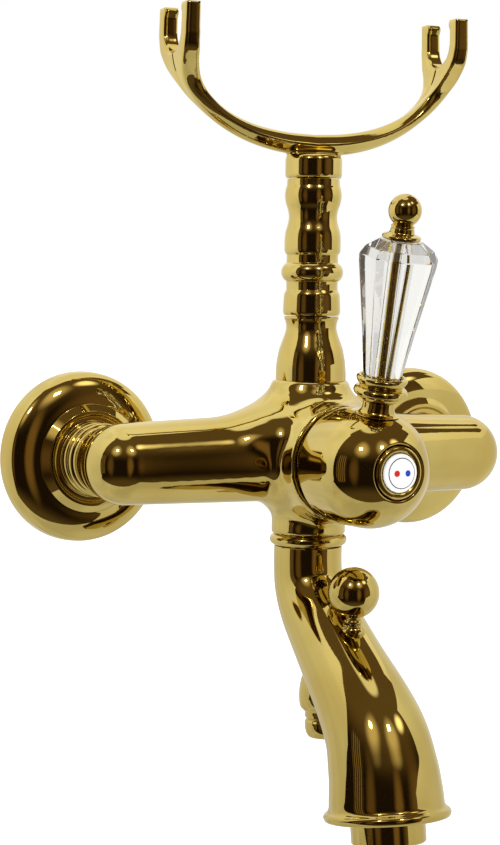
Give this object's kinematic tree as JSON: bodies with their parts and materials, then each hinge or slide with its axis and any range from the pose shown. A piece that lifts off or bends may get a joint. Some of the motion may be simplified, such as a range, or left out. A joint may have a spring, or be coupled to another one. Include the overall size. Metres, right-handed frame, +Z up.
{
  "type": "wall mounted bath faucet",
  "caption": "Gold wall mounted bath mixer with a crystal lever, a handset cradle on a turned column and a swan spout with a pull-up diverter.",
  "frame": {"origin": "on the wall plane, halfway between the two wall inlets", "axes": "+Z up, +X to the right seen from the room, -Y out of the wall into the room"},
  "size_m": [0.2146, 0.1464, 0.303],
  "materials": {
    "polished_gold": "mirror polished gold plate",
    "raw_brass": "machined",
    "steel": "machined stainless steel",
    "seal_rubber": "moulded",
    "nylon": "moulded",
    "disc_ceramic": "lapped",
    "white_enamel": "gloss enamel",
    "crystal": "cut and polished clear crystal"
  },
  "bodies": {
    "mixer": {"mixer_body": "polished_gold", "escutcheon_left": "polished_gold", "escutcheon_right": "polished_gold", "union_nut_left": "polished_gold", "union_nut_right": "polished_gold", "wall_union_left": "raw_brass", "wall_union_right": "raw_brass", "inlet_seal_left": "seal_rubber", "inlet_seal_right": "seal_rubber", "cartridge_base_seal": "seal_rubber", "cartridge_housing": "nylon", "cartridge_fixed_disc": "disc_ceramic", "cartridge_nut": "raw_brass", "column_base": "polished_gold", "column_shaft": "polished_gold", "cradle_screw": "steel", "spout_ring": "polished_gold", "spout_screw": "steel"},
    "turret": {"cartridge_turret": "nylon"},
    "ceramic_disc": {"cartridge_moving_disc": "disc_ceramic"},
    "lever": {"cartridge_stem": "steel", "lever_screw": "steel", "lever_hub": "polished_gold", "hub_button": "polished_gold", "index_disc": "white_enamel", "handle_stem": "polished_gold", "crystal_cup": "polished_gold", "crystal_lever": "crystal", "tie_rod": "polished_gold", "top_collar": "polished_gold", "ball_finial": "polished_gold"},
    "cradle": {"cradle": "polished_gold", "cradle_o_ring": "seal_rubber"},
    "spout": {"spout": "polished_gold", "spout_o_ring": "seal_rubber", "hose_outlet": "polished_gold", "aerator_shell": "polished_gold", "aerator_insert": "nylon", "aerator_seal": "seal_rubber", "diverter_gland": "polished_gold", "diverter_packing": "seal_rubber"},
    "diverter": {"diverter_knob": "polished_gold", "diverter_rod": "steel", "diverter_valve": "raw_brass", "diverter_seal": "seal_rubber"}
  },
  "joints": [
    {"name": "lever_turn", "type": "hinge", "parent": "mixer", "child": "turret", "pos_m": [0, -0.062, 0], "axis": [0, -1, 0], "range_deg": [-45, 45]},
    {"name": "lever_lift", "type": "hinge", "parent": "turret", "child": "lever", "pos_m": [0, -0.062, 0], "axis": [1, 0, 0], "range_deg": [0, 10]},
    {"name": "disc_slide", "type": "slide", "parent": "turret", "child": "ceramic_disc", "axis": [0, 0, 1], "range_m": [0, 0.0014]},
    {"name": "cradle_turn", "type": "hinge", "parent": "mixer", "child": "cradle", "pos_m": [0, -0.0464, 0.1057], "axis": [0, 0, 1], "range_deg": [-60, 60]},
    {"name": "spout_swivel", "type": "hinge", "parent": "mixer", "child": "spout", "pos_m": [0, -0.0464, -0.0326], "axis": [0, 0, 1], "range_deg": [-60, 60]},
    {"name": "diverter_pull", "type": "slide", "parent": "spout", "child": "diverter", "axis": [0, 0, 1], "range_m": [0, 0.008]}
  ],
  "couplings": [
    {"joint": "disc_slide", "follows": "lever_lift", "m_per_rad": 0.0076}
  ]
}
